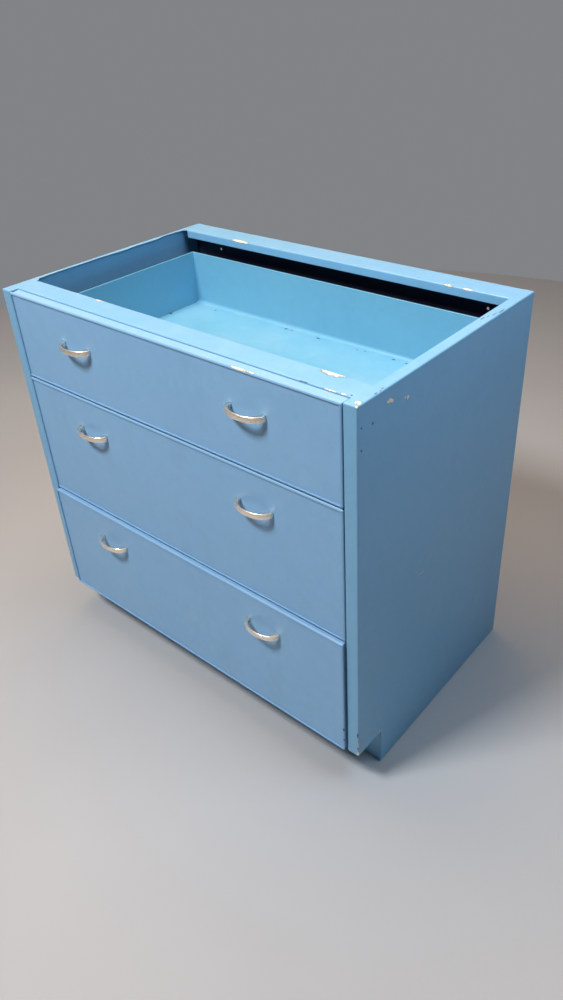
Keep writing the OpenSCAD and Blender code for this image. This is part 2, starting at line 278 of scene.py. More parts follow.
def blend(tree, amount, first, second):
    return add(tree, "Mix", {0: amount, 6: first, 7: second}, data_type="RGBA").outputs[2]


def emboss(tree, shader, height):
    # Relief with heights in millimetres
    bump = add(tree, "Bump", {"Strength": 1.0, "Distance": 0.001, "Height": height})
    tree.links.new(bump.outputs[0], shader.inputs["Normal"])


def nodeGroup(name, inputs, outputs):
    # An empty shader group. inputs is {label: start value}, outputs is {label: kind}.
    group = bpy.data.node_groups.new(name, "ShaderNodeTree")
    kinds = {float: "NodeSocketFloat", 3: "NodeSocketVector", 4: "NodeSocketColor"}
    for label, value in inputs.items():
        kind = kinds[float] if isinstance(value, float) else kinds[len(value)]
        socket = group.interface.new_socket(label, in_out="INPUT", socket_type=kind)
        socket.default_value = value
    for label, kind in outputs.items():
        group.interface.new_socket(label, in_out="OUTPUT", socket_type="NodeSocket" + kind)
    return group, group.nodes.new("NodeGroupInput").outputs, group.nodes.new("NodeGroupOutput").inputs


def use(tree, group, inputs):
    # Places a shader group with its own values, and returns its outputs.
    node = tree.nodes.new("ShaderNodeGroup")
    node.node_tree = group
    return fill(tree, node, inputs).outputs


# Effects that several finishes share, each a shader group that is built once

def makePaintTone():
    # Enamel that has faded in patches, with fine mottling and a few dark specks
    group, given, result = nodeGroup(
        "paintTone",
        {"Coordinates": (0, 0, 0), "Paint": (0.2, 0.4, 0.6, 1), "Faded": (0.3, 0.5, 0.6, 1),
         "Grime": (0.1, 0.1, 0.1, 1), "Specks": 0.3},
        {"Colour": "Color", "Dirt": "Float"})
    where = given["Coordinates"]
    patches = ramp(group, noise(group, where, 3.1, 4.0, 0.6), 0.25, 0.75)
    tone = blend(group, patches, given["Paint"], given["Faded"])
    mottle = ramp(group, noise(group, where, 46.0, 5.0, 0.7), 0.25, 0.75, -0.025, 0.03)
    lifted = add(group, "HueSaturation", {"Color": tone, "Value": maths(group, "ADD", mottle, 1.0)})
    smears = noise(group, vectorMaths(group, "MULTIPLY", where, (9.0, 9.0, 2.2)), 1.0, 5.0, 0.65)
    film = ramp(group, smears, 0.52, 0.90, 0.0, 0.16)
    speckField = noise(group, where, 210.0, 2.0, 0.5)
    specks = maths(group, "MULTIPLY", ramp(group, speckField, 0.735, 0.765), given["Specks"])
    dirt = maths(group, "MAXIMUM", film, specks)
    colour = blend(group, dirt, lifted.outputs[0], given["Grime"])
    group.links.new(colour, result["Colour"])
    group.links.new(dirt, result["Dirt"])
    return group


def makeEdgeWear():
    # A mask along the edges of a box: the second smallest distance to its faces is the
    # distance to its nearest edge, and noise breaks the line up.
    group, given, result = nodeGroup(
        "edgeWear",
        {"Coordinates": (0, 0, 0), "Centre": (0, 0, 0), "Half size": (1, 1, 1),
         "Width": 0.003, "Amount": 0.5},
        {"Mask": "Float"})
    where = given["Coordinates"]
    away = vectorMaths(group, "ABSOLUTE", vectorMaths(group, "SUBTRACT", where, given["Centre"]))
    inside = add(group, "SeparateXYZ",
                 {0: vectorMaths(group, "SUBTRACT", given["Half size"], away)}).outputs
    nearer = maths(group, "MINIMUM", inside[0], inside[1])
    farther = maths(group, "MAXIMUM", inside[0], inside[1])
    edge = maths(group, "MAXIMUM", nearer, maths(group, "MINIMUM", farther, inside[2]))
    ragged = maths(group, "MULTIPLY_ADD", noise(group, where, 330.0, 3.0, 0.6), 0.004, edge)
    near = ramp(group, ragged, 0.0015, maths(group, "ADD", given["Width"], 0.0015), 1.0, 0.0)
    patchy = noise(group, where, 24.0, 4.0, 0.7)
    threshold = maths(group, "SUBTRACT", 0.86, maths(group, "MULTIPLY", given["Amount"], 0.4))
    worn = ramp(group, patchy, threshold, maths(group, "ADD", threshold, 0.03))
    group.links.new(maths(group, "MULTIPLY", near, worn), result["Mask"])
    return group


def makeChip():
    # One paint chip: an ellipsoid at Place whose reach is made ragged by noise, with a rim of
    # bare steel where the enamel breaks off, and islands of paint left standing in it
    group, given, result = nodeGroup(
        "chip",
        {"Coordinates": (0, 0, 0), "Place": (0, 0, 0), "Size": (0.01, 0.01, 0.01), "Before": 0.0,
         "Rim before": 0.0},
        {"Mask": "Float", "Rim": "Float"})
    where = given["Coordinates"]
    away = vectorMaths(group, "SUBTRACT", where, given["Place"])
    reach = vectorMaths(group, "LENGTH", vectorMaths(group, "DIVIDE", away, given["Size"]),
                        output="Value")
    coarse = maths(group, "SUBTRACT", noise(group, where, 135.0, 3.0, 0.6), 0.5)
    fine = maths(group, "SUBTRACT", noise(group, where, 620.0, 4.0, 0.75), 0.5)
    ragged = maths(group, "MULTIPLY_ADD", coarse, 1.1, reach)
    ragged = maths(group, "MULTIPLY_ADD", fine, 1.7, ragged)
    chip = ramp(group, ragged, 0.92, 1.0, 1.0, 0.0)
    rim = ramp(group, ragged, 1.0, 1.22, 1.0, 0.0)
    group.links.new(maths(group, "MAXIMUM", chip, given["Before"]), result["Mask"])
    group.links.new(maths(group, "MAXIMUM", rim, given["Rim before"]), result["Rim"])
    return group


def makePaintRelief():
    # Height of enamel over rolled sheet: orange peel and a slow waviness of the sheet
    group, given, result = nodeGroup(
        "paintRelief", {"Coordinates": (0, 0, 0), "Peel": 0.02, "Wave": 0.3}, {"Height": "Float"})
    peel = noise(group, given["Coordinates"], 520.0, 2.0, 0.5)
    wave = noise(group, given["Coordinates"], 5.5, 2.0, 0.4)
    height = maths(group, "ADD", maths(group, "MULTIPLY", peel, given["Peel"]),
                   maths(group, "MULTIPLY", wave, given["Wave"]))
    group.links.new(height, result["Height"])
    return group


def makeScratches():
    # Fine scratches: thin bands of noise that is stretched along one slanting direction
    group, given, result = nodeGroup(
        "scratches", {"Coordinates": (0, 0, 0), "Turn": (0, 0, 0), "Amount": 0.5}, {"Mask": "Float"})
    turned = add(group, "VectorRotate", {"Vector": given["Coordinates"],
                                         "Rotation": given["Turn"]}, rotation_type="EULER_XYZ")
    stretched = vectorMaths(group, "MULTIPLY", turned.outputs[0], (3.0, 3.0, 120.0))
    line = maths(group, "ABSOLUTE", maths(group, "SUBTRACT", noise(group, stretched, 1.0, 1.0), 0.5))
    thin = ramp(group, line, 0.0, 0.006, 1.0, 0.0)
    few = ramp(group, noise(group, given["Coordinates"], 7.0, 3.0), 0.6, 0.7)
    mask = maths(group, "MULTIPLY", maths(group, "MULTIPLY", thin, few), given["Amount"])
    group.links.new(mask, result["Mask"])
    return group


def makeMetalGrain():
    # Brushed or drawn grain: noise squeezed across the Along direction
    group, given, result = nodeGroup(
        "metalGrain", {"Coordinates": (0, 0, 0), "Squeeze": (400, 20, 400)},
        {"Grain": "Float", "Clouds": "Float"})
    lines = noise(group, vectorMaths(group, "MULTIPLY", given["Coordinates"], given["Squeeze"]),
                  1.0, 4.0, 0.6)
    group.links.new(lines, result["Grain"])
    group.links.new(noise(group, given["Coordinates"], 38.0, 4.0, 0.65), result["Clouds"])
    return group


def makeDust():
    # Dust settles on faces that look up, thicker in patches.
    group, given, result = nodeGroup(
        "dust", {"Coordinates": (0, 0, 0), "Normal": (0, 0, 1), "Amount": 0.2}, {"Mask": "Float"})
    up = ramp(group, add(group, "SeparateXYZ", {0: given["Normal"]}).outputs[2], 0.6, 0.98)
    patches = ramp(group, noise(group, given["Coordinates"], 12.0, 6.0, 0.7), 0.35, 0.75)
    mask = maths(group, "MULTIPLY", maths(group, "MULTIPLY", up, patches), given["Amount"])
    group.links.new(mask, result["Mask"])
    return group


paintTone = makePaintTone()
edgeWear = makeEdgeWear()
chipShape = makeChip()
paintRelief = makePaintRelief()
scratchLines = makeScratches()
metalGrain = makeMetalGrain()
dustFall = makeDust()


# Finishes

def newMaterial(name):
    # A material's tree, its Principled shader, its Object coordinates and its normals
    material = bpy.data.materials.new(name)
    material.use_nodes = True
    tree = material.node_tree
    tree.nodes.clear()
    shader = add(tree, "BsdfPrincipled")
    output = add(tree, "OutputMaterial")
    tree.links.new(shader.outputs[0], output.inputs[0])
    where = add(tree, "TexCoord").outputs["Object"]
    normal = add(tree, "NewGeometry").outputs["Normal"]
    return material, tree, shader, where, normal


skyEnamel = {
    "paint": (0.175, 0.405, 0.625, 1), "faded": (0.190, 0.420, 0.630, 1),
    "grime": (0.060, 0.110, 0.180, 1), "undercoat": (0.83, 0.74, 0.60, 1),
    "rust": (0.36, 0.20, 0.10, 1), "bareSteelAndHoleShade": (0.055, 0.075, 0.115, 1),
    "dust": (0.50, 0.62, 0.72, 1), "inside": None,
    "roughness": 0.40, "specks": 0.35, "peel": 0.0030, "wave": 0.35, "dustAmount": 0.12,
    "scratches": 0.25, "scratchTurn": (0.35, 0.9, 0.2), "wear": 0.35, "wearWidth": 0.0025,
    "filmDepth": 0.25,                           # how deep a chip is, in millimetres
}
# Painted reflection: the fronts' enamel is the cabinet's blue made lighter and warmer, standing in for the
# warm floor seen in their sheen
frontEnamelPaintedSheen = dict(skyEnamel, paint=(0.215, 0.425, 0.670, 1), faded=(0.230, 0.440, 0.675, 1),
                   roughness=0.42, scratches=0.18, wear=0.12)
# On the trays the dark colour is bare steel at worn edges and painted shade in the top tray's floor holes
trayEnamel = dict(skyEnamel, paint=(0.140, 0.400, 0.575, 1), faded=(0.155, 0.415, 0.580, 1),
                  bareSteelAndHoleShade=(0.020, 0.045, 0.110, 1), roughness=0.36, wear=0.05, scratches=0.25)
darkNavy = (0.024, 0.028, 0.062, 1)      # dark navy for the back panel's faces that look to the front, and painted shade on the cross rails


def enamel(name, finish, low, high, chips=(), nicksAndHoleShades=()):
    # Worn enamel on one piece, whose box gives the edges. chips show the undercoat, and nicks are dark
    # marks:
    # bare steel, and on the top tray painted shade in small floor holes; each is (place, size) in the
    # frame's axes.
    material, tree, shader, where, normal = newMaterial(name)
    low, high = np.array(low), np.array(high)
    tone = use(tree, paintTone, {"Coordinates": where, "Paint": finish["paint"],
                                 "Faded": finish["faded"], "Grime": finish["grime"],
                                 "Specks": finish["specks"]})
    worn = use(tree, edgeWear, {"Coordinates": where, "Centre": tuple((low + high) / 2),
                                "Half size": tuple((high - low) / 2),
                                "Width": finish["wearWidth"], "Amount": finish["wear"]})
    lines = use(tree, scratchLines, {"Coordinates": where, "Turn": finish["scratchTurn"],
                                     "Amount": finish["scratches"]})
    fallen = use(tree, dustFall, {"Coordinates": where, "Normal": normal,
                                  "Amount": finish["dustAmount"]})
    chip, rim = 0.0, 0.0
    for place, size in chips:
        made = use(tree, chipShape, {"Coordinates": where, "Place": place, "Size": size,
                                     "Before": chip, "Rim before": rim})
        chip, rim = made["Mask"], made["Rim"]
    nickAndHoleShade = 0.0
    for place, size in nicksAndHoleShades:
        nickAndHoleShade = use(tree, chipShape, {"Coordinates": where, "Place": place, "Size": size,
                                     "Before": nickAndHoleShade})["Mask"]
    colour = tone["Colour"]
    if finish["inside"]:
        facing = add(tree, "SeparateXYZ", {0: normal}).outputs[1]
        colour = blend(tree, ramp(tree, facing, -0.6, -0.4, 1.0, 0.0), colour, finish["inside"])
    colour = blend(tree, fallen["Mask"], colour, finish["dust"])
    colour = blend(tree, lines["Mask"], colour, finish["dust"])
    # Dark marks: bare steel at chip rims and nicks, and painted shade at the top tray's floor holes
    brokenAndHoleShade = maths(tree, "MAXIMUM", maths(tree, "MULTIPLY", rim, 0.75), nickAndHoleShade)
    dark = maths(tree, "MAXIMUM", brokenAndHoleShade, maths(tree, "MULTIPLY", worn["Mask"], 0.8))
    colour = blend(tree, dark, colour, finish["bareSteelAndHoleShade"])
    stained = ramp(tree, noise(tree, where, 240.0, 4.0, 0.7), 0.54, 0.66)
    primer = blend(tree, stained, finish["undercoat"], finish["rust"])
    colour = blend(tree, chip, colour, primer)
    tree.links.new(colour, shader.inputs["Base Color"])
    dull = maths(tree, "MULTIPLY_ADD", noise(tree, where, 17.0, 5.0, 0.65), 0.16,
                 finish["roughness"] - 0.08)
    dull = maths(tree, "MULTIPLY_ADD", fallen["Mask"], 0.35, dull)
    dull = maths(tree, "MULTIPLY_ADD", chip, 0.4, dull, clamp=True)
    tree.links.new(dull, shader.inputs["Roughness"])
    relief = use(tree, paintRelief, {"Coordinates": where, "Peel": finish["peel"],
                                     "Wave": finish["wave"]})["Height"]
    loss = maths(tree, "MAXIMUM", chip, maths(tree, "MAXIMUM", nickAndHoleShade, worn["Mask"]))
    emboss(tree, shader, maths(tree, "MULTIPLY_ADD", loss, -finish["filmDepth"], relief))
    return material


def satinMetal(name, colour, roughness, squeeze, stain, depth=0.02):
    # Plated or cast metal with a drawn grain and slight stains
    material, tree, shader, where, _ = newMaterial(name)
    grain = use(tree, metalGrain, {"Coordinates": where, "Squeeze": squeeze})
    stained = ramp(tree, grain["Clouds"], 0.42, 0.75, 0.0, 0.55)
    tone = blend(tree, stained, colour, stain)
    streaked = add(tree, "HueSaturation", {
        "Color": tone, "Value": ramp(tree, grain["Grain"], 0.2, 0.8, 0.90, 1.08)})
    tree.links.new(streaked.outputs[0], shader.inputs["Base Color"])
    shader.inputs["Metallic"].default_value = 1.0
    dull = maths(tree, "MULTIPLY_ADD", grain["Grain"], 0.16, roughness - 0.08)
    tree.links.new(maths(tree, "MULTIPLY_ADD", stained, 0.2, dull), shader.inputs["Roughness"])
    emboss(tree, shader, maths(tree, "MULTIPLY", grain["Grain"], depth))
    return material


def mouldedPlastic(name, colour, scuffed, roughness, depth):
    # Nylon or rubber: cloudy colour, scuffs and a fine moulded texture
    material, tree, shader, where, _ = newMaterial(name)
    scuffs = ramp(tree, noise(tree, where, 90.0, 5.0, 0.7), 0.45, 0.7, 0.0, 0.6)
    tree.links.new(blend(tree, scuffs, colour, scuffed), shader.inputs["Base Color"])
    tree.links.new(maths(tree, "MULTIPLY_ADD", scuffs, 0.25, roughness),
                   shader.inputs["Roughness"])
    emboss(tree, shader, maths(tree, "MULTIPLY", noise(tree, where, 900.0, 3.0, 0.6), depth))
    return material


satinNickel = satinMetal("satinNickel", (0.90, 0.81, 0.70, 1), 0.25, (60, 60, 900),
                         (0.78, 0.64, 0.50, 1), 0.0012)
zincSheet = satinMetal("zincSheet", (0.60, 0.62, 0.64, 1), 0.42, (500, 14, 500),
                       (0.42, 0.43, 0.44, 1))
zincFastener = satinMetal("zincFastener", (0.62, 0.62, 0.60, 1), 0.36, (160, 700, 700),
                          (0.48, 0.46, 0.40, 1))
rollerNylon = mouldedPlastic("rollerNylon", (0.72, 0.70, 0.62, 1), (0.42, 0.40, 0.35, 1), 0.38, 0.01)
bumperRubber = mouldedPlastic("bumperRubber", (0.022, 0.022, 0.024, 1), (0.07, 0.07, 0.07, 1),
                              0.62, 0.03)
print("finishes made")


# The welded cabinet

def nodeBox(node):
    low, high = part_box(node)
    return np.array(low), np.array(high)


sideLow, sideHigh = nodeBox("left_side_panel")
cabinet = {
    "sheet": 0.0015, "fold": 0.0028,             # thickness of the sheet, outer radius of its folds
    "flange": 0.021, "backReturn": 0.020,        # widths along the top and at the back
    "toeDepth": 0.078,
    "joinHoles": ((0.010, 0.040), (0.010, 0.079), (0.0395, 0.045)),   # back from the front, down
    "holeRadius": 0.002,
}
left, front, back, top = sideLow[0], sideLow[1], sideHigh[1], sideHigh[2]
stileWidth = sideHigh[0] - left
toeTop = nodeBox("base_pan")[0][2] + cabinet["sheet"]
toeFront = front + cabinet["toeDepth"]
stileBack = nodeBox("front_top_rail")[0][1]


def holeBlock(columns, rows, points, centre, radius):
    # A block of four by four cells round the centre: its outer ring of points is moved straight
    # away from the centre on to the circle, and the cells inside are returned. The slack
    # takes up the rounding of the grid's lines.
    slack = radius * 0.001
    near = [np.flatnonzero(np.abs(lines - c) < radius + slack) for lines, c in zip((columns, rows), centre)]
    block = np.ix_(near[1], near[0])
    away = points[block][..., 1:] - centre
    ring = np.maximum(np.abs(away[..., 0]), np.abs(away[..., 1])) > radius - slack
    moved = points[block]
    reach = np.linalg.norm(away, axis=-1, keepdims=True)
    moved[..., 1:][ring] = (centre + away * radius / np.maximum(reach, 1e-9))[ring]
    points[block] = moved
    return np.ix_(near[1][:-1], near[0][:-1])


def sideSkin(flangeEdge=()):
    # The outer skin of the left side panel. In plan it runs from the stile's return over the
    # stile and the face to the back return; upwards it folds over into the top flange, whose
    # inner edge may run unevenly through flangeEdge, (back from the front, width) from the back.
    size = cabinet
    fold, r = size["fold"], size["holeRadius"]
    reach = r * np.array([-1, -0.5, 0, 0.5, 1])
    holes = [(front + y, top - drop) for y, drop in size["joinHoles"]]
    stopsY = np.unique(np.round(np.concatenate([y + reach for y, z in holes]), 7))
    stopsZ = np.unique(np.round(np.concatenate([z + reach for y, z in holes]), 7))
    corners = [(left + stileWidth, stileBack), (left + stileWidth, front, fold), (left, front, fold)]
    corners += [(left, y) for y in np.append(stopsY, toeFront)]
    corners += [(left, back, fold), (left + size["backReturn"], back)]
    plan, out = roundedPath(corners)
    alongY = np.where(np.abs(plan[:, 0] - left) < 1e-9, plan[:, 1], np.nan)
    toeColumn = int(np.nanargmin(np.abs(alongY - toeFront)))
    foldColumn = int(np.nanargmax(alongY))

    def rows(heights, insets, first=0, last=None):
        flat = plan[first:last] - np.asarray(insets)[:, None, None] * out[first:last]
        heights = np.asarray(heights)[:, None] + 0 * flat[..., 0]
        return np.concatenate([flat, heights[..., None]], -1)

    levelsZ = np.concatenate([[toeTop], stopsZ, [top - fold]])
    wall = rows(levelsZ, 0 * levelsZ)
    keep = np.ones((len(levelsZ) - 1, len(plan) - 1), bool)
    for centre in holes:
        keep[holeBlock(alongY, levelsZ, wall, np.array(centre), r)] = False
    angle = np.linspace(0, math.pi / 2, 6)
    rounded = rows(top - fold + fold * np.sin(angle), fold * (1 - np.cos(angle)))
    edge = [(back - front - fold, size["flange"]), *flangeEdge, (stileBack - front, size["flange"])]
    inner = np.array([(left + width, front + y, top) for y, width in edge])
    lid = np.concatenate([rounded[-1], inner])
    lower = rows([fold, toeTop], [0, 0], toeColumn)
    stub = rows([0, fold], [0, 0], foldColumn)
    foot = rows(np.append(fold - fold * np.sin(angle), 0)[::-1],
                np.append(fold * (1 - np.cos(angle)), size["backReturn"])[::-1], toeColumn, foldColumn + 1)
    return [(wall, [quads(*wall.shape[:2], flip=True, keep=keep)]),
            (rounded, [quads(*rounded.shape[:2], flip=True)]),
            (lid, [np.arange(len(lid))[None, ::-1]]),
            (lower, [quads(*lower.shape[:2], flip=True)]),
            (stub, [quads(*stub.shape[:2], flip=True)]),
            (foot, [quads(*foot.shape[:2], flip=True)])]


# Marks on the right side panel, each (place, size) in metres
flangeNicks = [((0.4540, -0.2186, top), (0.0011, 0.0052, 0.0014)),
               ((0.4526, -0.1990, top), (0.0010, 0.0030, 0.0014)),
               ((0.4548, -0.2080, top), (0.0008, 0.0024, 0.0014)),
               ((0.4420, 0.1260, top), (0.0010, 0.0070, 0.0014)),
               ((0.4455, 0.1400, top), (0.0010, 0.0050, 0.0014)),
               ((0.4500, 0.1560, top), (0.0009, 0.0090, 0.0014)),
               ((0.4530, 0.1760, top), (0.0013, 0.0110, 0.0014)),
               ((0.4555, front, 0.1571), (0.0020, 0.0018, 0.0070)),
               ((0.4555, front, 0.1213), (0.0020, 0.0018, 0.0055))]
sideChips = [((0.4502, -0.2582, top), (0.0050, 0.0056, 0.0030)),
             ((0.4556, front, top), (0.0034, 0.0034, 0.0030)),
             ((0.4572, -0.1855, 0.8512), (0.0030, 0.0078, 0.0036)),
             ((0.4572, -0.1790, 0.8480), (0.0030, 0.0035, 0.0040)),
             ((0.4572, -0.1340, 0.8356), (0.0030, 0.0032, 0.0040)),
             ((0.4572, -0.1420, 0.8380), (0.0030, 0.0024, 0.0018)),
             ((0.4572, -0.0640, 0.4290), (0.0020, 0.0110, 0.0007)),
             ((0.4572, front, 0.1290), (0.0024, 0.0024, 0.0090)),
             ((0.4572, front, 0.1035), (0.0046, 0.0034, 0.0060)),
             ((0.4572, -0.1935, 0.0990), (0.0030, 0.0060, 0.0022))]

# The left flange was knocked about: its inner edge wanders and leaves it narrower.
bruised = ((0.5110, 0.0205), (0.5050, 0.0125), (0.4850, 0.0090), (0.4540, 0.0080), (0.4400, 0.0100),
           (0.4170, 0.0145), (0.3870, 0.0125), (0.3560, 0.0108), (0.3400, 0.0120), (0.3270, 0.0145),
           (0.3050, 0.0130), (0.2860, 0.0108), (0.2460, 0.0095), (0.2000, 0.0105), (0.1600, 0.0095),
           (0.1200, 0.0100), (0.0840, 0.0120), (0.0760, 0.0205))
for side in sides:
    name = side + "_side_panel"
    marks = (sideChips, flangeNicks) if side == "right" else ([], [])
    skin = sideSkin(bruised if side == "left" else ())
    makePiece(side + "SidePanel", [onSide(side, patch) for patch in skin],
              enamel(side + "SideEnamel", skyEnamel, *nodeBox(name), *marks),
              "cabinet", [name], sheet=cabinet["sheet"])
print("side panels made")


def railSkin(node):
    # A channel open downwards: its front flange, its top and its back flange, and the tabs that
    # reach under the side panels' flanges
    low, high = nodeBox(node)
    fold, sheet = cabinet["fold"], cabinet["sheet"]
    ends = np.array([left + cabinet["flange"], -left - cabinet["flange"]])
    profile, _ = roundedPath([(low[1], low[2]), (low[1], top, fold), (high[1], top, fold),
                              (high[1], low[2])])
    grid = across(profile[None, :, 0] + 0 * ends[:, None], profile[None, :, 1] + 0 * ends[:, None],
                  ends[:, None] + 0 * profile[None, :, 0])
    patches = [(grid, [quads(2, len(profile), flip=True)])]
    for a, b in ((low[0], ends[0]), (ends[1], high[0])):
        u, v = np.meshgrid([a, b], [low[1] + sheet, high[1] - sheet])
        patches.append((np.stack([u, v, 0 * u + top - sheet], -1), [quads(2, 2)]))
    return patches


# For each rail its chips, then its nicks
railMarks = {
    "front_top_rail": ([((0.3610, -0.1935, top), (0.0245, 0.0150, 0.0040)),
                        ((-0.2243, -0.1940, top), (0.0190, 0.0085, 0.0040)),
                        ((-0.2050, -0.1960, top), (0.0110, 0.0035, 0.0030)),
                        ((0.3900, -0.2478, top), (0.0150, 0.0012, 0.0020)),
                        ((0.4150, -0.2470, top), (0.0070, 0.0014, 0.0020))],
                       [((0.3400, -0.2480, top), (0.0110, 0.0008, 0.0020)),
                        ((0.4280, -0.2440, top), (0.0022, 0.0014, 0.0020))]),
    "back_top_rail": ([((-0.2592, 0.2412, top), (0.0230, 0.0072, 0.0040)),
                       ((-0.2400, 0.2415, top), (0.0110, 0.0030, 0.0030)),
                       ((0.3039, 0.2425, top), (0.0100, 0.0028, 0.0030)),
                       ((0.3478, 0.2425, top), (0.0120, 0.0018, 0.0030))], []),
}
for node, label in (("front_top_rail", "frontTopRail"), ("back_top_rail", "backTopRail")):
    low, high = nodeBox(node)
    makePiece(label, railSkin(node), enamel(label + "Enamel", skyEnamel, low, high, *railMarks[node]),
              "cabinet", [node], sheet=cabinet["sheet"])


def downChannel(low, high, sheet, fold):
    # Middle line of a channel that opens downwards, as (y, z) corners
    h = sheet / 2
    return [(low[1] + h, low[2]), (low[1] + h, high[2] - h, fold), (high[1] - h, high[2] - h, fold),
            (high[1] - h, low[2])]


# Painted shade: the cross rails seen through the gaps between the drawers take a dark navy enamel, so the
# gaps read dark
railShadeEnamel = enamel("railShadeEnamel", dict(skyEnamel, paint=darkNavy, faded=darkNavy), *cadBox)
middleFold = cabinet["fold"] - cabinet["sheet"] / 2      # radius of a fold's middle line
for node, label in (("upper_cross_rail", "upperCrossRail"), ("lower_cross_rail", "lowerCrossRail")):
    low, high = nodeBox(node)
    outline = sheetOutline(downChannel(low, high, cabinet["sheet"], middleFold), cabinet["sheet"])
    makePiece(label, [bar(outline, low[0], high[0], across)], railShadeEnamel,
              "cabinet", [node], solid=True)

low, high = nodeBox("toe_plate")
half = cabinet["sheet"] / 2
toeOutline = sheetOutline([(high[1], low[2] + half), (low[1] + half, low[2] + half, middleFold),
                           (low[1] + half, high[2] - half, middleFold), (high[1], high[2] - half)],
                          cabinet["sheet"])
toeEnamel = enamel("toeEnamel", dict(skyEnamel, wear=0.45), low, high)
makePiece("toePlate", [bar(toeOutline, low[0], high[0], across)], toeEnamel,
          "cabinet", ["toe_plate"], solid=True)
for node, inside in (("back_panel", darkNavy), ("base_pan", None)):
    finish = dict(skyEnamel, wear=0.25, inside=inside)
    dressNode(node, enamel(node + "Enamel", finish, *nodeBox(node)), 0.0003)
for node in ("corner_gussets", "levelling_nuts"):
    dressNode(node, zincFastener if node == "levelling_nuts" else zincSheet, 0.0003)
dressNode("levelling_screws", zincFastener, 0.0004)
print("rails, toe plate and base made")


# Slides: posts, tracks, runners, rollers and axles

slide = {"sheet": 0.0015, "bend": 0.0016,
         "postWidth": 0.040, "postOut": 0.0255, "rearPostRise": 0.045,   # rise above the top track
         "runnerFlange": 0.0110}


def postPatches():
    # Four upright channels that open towards the side panel: (x, y) profiles carried upwards.
    # The rear pair ends a little above the top track.
    low, high = nodeBox("slide_posts")
    h, width = slide["sheet"] / 2, slide["postWidth"]
    web = left + slide["postOut"] - h
    rearTop = nodeBox("top_left_track")[1][2] - slide["sheet"] + slide["rearPostRise"]
    made = []
    for y, postTop in ((low[1], high[2]), (high[1] - width, rearTop)):
        corners = [(left + cabinet["sheet"], y + h), (web, y + h, slide["bend"]),
                   (web, y + width - h, slide["bend"]), (left + cabinet["sheet"], y + width - h)]
        post = bar(sheetOutline(corners, slide["sheet"]), low[2], postTop, upward)
        made += [post, mirrored(post)]
    return made


makePiece("slidePosts", postPatches(), zincSheet, "cabinet", ["slide_posts"], solid=True)


def trackPatch(node):
    # A channel that opens towards the tray: an (x, z) profile carried back
    low, high = nodeBox(node)
    h = slide["sheet"] / 2
    web, lip = (low[0] + h, high[0]) if low[0] < 0 else (high[0] - h, low[0])
    corners = [(lip, low[2] + h), (web, low[2] + h, slide["bend"]),
               (web, high[2] - h, slide["bend"]), (lip, high[2] - h)]
    return bar(sheetOutline(corners, slide["sheet"]), low[1], high[1], inward)


def runnerPatches(node):
    # Two angles: the web stands on the tray's side and the flange lies over the track roller.
    low, high = nodeBox(node)
    h = slide["sheet"] / 2
    web = low[0] + slide["runnerFlange"] - h
    corners = [(web, low[2]), (web, high[2] - h, slide["bend"]), (low[0], high[2] - h)]
    angle = bar(sheetOutline(corners, slide["sheet"]), low[1], high[1], inward)
    return [angle, mirrored(angle)]


roller = {"rimWidth": 0.0030, "hubRadius": 0.0058, "recess": 0.0010, "boreRadius": 0.00308,
          "round": 0.0007, "chamfer": 0.0003, "steps": 56}
axle = {"headRadius": 0.0048, "journalRadius": 0.0030, "headThickness": 0.0009, "sidePlay": 0.0002,
        "steps": 32}


def rollerPatch(node):
    # Turned profile: bore, hub, recess, rim and a tread with rounded corners
    low, high = nodeBox(node)
    width, radius = high[0] - low[0], (high[2] - low[2]) / 2
    r, d, c = roller["round"], roller["recess"], roller["chamfer"]
    bend = np.linspace(0, math.pi / 2, 5)
    tread = np.stack([r - r * np.sin(bend), radius - r + r * np.cos(bend)], 1)[::-1]
    face = [(c, roller["boreRadius"]), (0, roller["boreRadius"] + c), (0, roller["hubRadius"] - c),
            (c, roller["hubRadius"]), (d, roller["hubRadius"] + c),
            (d, radius - roller["rimWidth"] - c), (c, radius - roller["rimWidth"]),
            (0, radius - roller["rimWidth"] + c)]
    halfProfile = np.concatenate([face, tread])
    other = halfProfile[::-1] * (-1, 1) + (width, 0)
    profile = np.concatenate([halfProfile, other, halfProfile[:1]])
    centre = np.array([low[0], (low[1] + high[1]) / 2, (low[2] + high[2]) / 2])
    points, faces = turned(profile, centre, roller["steps"])
    return points, faces[:1]


def axlePatch(start, centre, length, outwards):
    # A shouldered rivet: shoulder, journal and a head whose radius falls as the cosine to the
    # power 0.6 while it rises as the sine. start is its x at the sheet.
    head, journal = axle["headRadius"], axle["journalRadius"]
    neck = length["shoulder"]
    end = neck + length["journal"]
    bend = np.linspace(0, math.pi / 2, 6)
    dome = np.stack([end + axle["headThickness"] * np.sin(bend), head * np.cos(bend) ** 0.6], 1)
    profile = np.concatenate([[(0, head), (neck, head), (neck, journal), (end, journal)], dome])
    profile[:, 0] *= outwards
    return turned(profile, np.array([start, centre[0], centre[1]]), axle["steps"])


def axlePatches(webX, rollers):
    # One axle for each roller, from the sheet at webX through the roller beside it
    patches = []
    for body in rollers:
        low, high = nodeBox(body)
        sign = 1 if low[0] > 0 else -1
        start = sign * abs(webX)
        nearest = min(abs(low[0] - start), abs(high[0] - start))
        towards = 1 if (low[0] + high[0]) / 2 > start else -1
        length = {"shoulder": nearest - axle["sidePlay"], "journal": high[0] - low[0] + 2 * axle["sidePlay"]}
        patches.append(axlePatch(start, ((low[1] + high[1]) / 2, (low[2] + high[2]) / 2), length, towards))
    return patches


